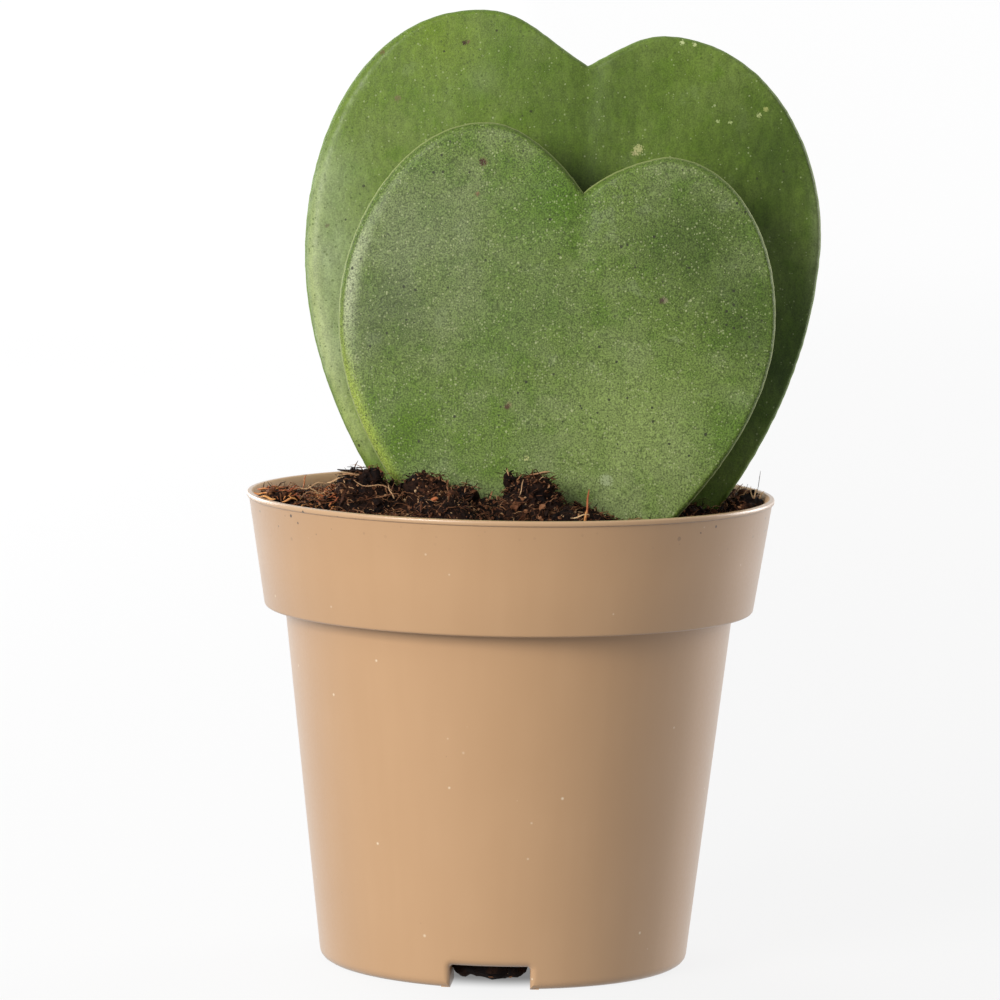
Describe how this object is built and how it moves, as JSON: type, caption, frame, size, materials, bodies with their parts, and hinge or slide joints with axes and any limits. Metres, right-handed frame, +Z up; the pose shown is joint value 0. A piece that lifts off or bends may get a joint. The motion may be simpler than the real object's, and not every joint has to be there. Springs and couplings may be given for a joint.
{
  "type": "potted hoya plant",
  "caption": "Thick heart-shaped hoya leaves standing one behind the other in dark potting mix, in a small tapered nursery pot with a stepped collar.",
  "frame": {"origin": "on the surface that the pot stands on, under the middle of the plant's box, 2.5 mm to the right of the pot's axis because the back leaf reaches past the rim on that side", "axes": "+Z up, -Y towards the front of the plant, where the leaf faces and one foot notch look, +X to the right as seen from the front"},
  "size_m": [0.0651, 0.06, 0.108],
  "materials": {
    "pot_plastic": "satin",
    "potting_mix": "matte",
    "front_leaf_skin": "satin",
    "back_leaf_skin": "satin"
  },
  "bodies": {
    "root": {"pot": "pot_plastic", "soil": "potting_mix", "leaf_front": "front_leaf_skin", "leaf_back": "back_leaf_skin"}
  },
  "joints": []
}
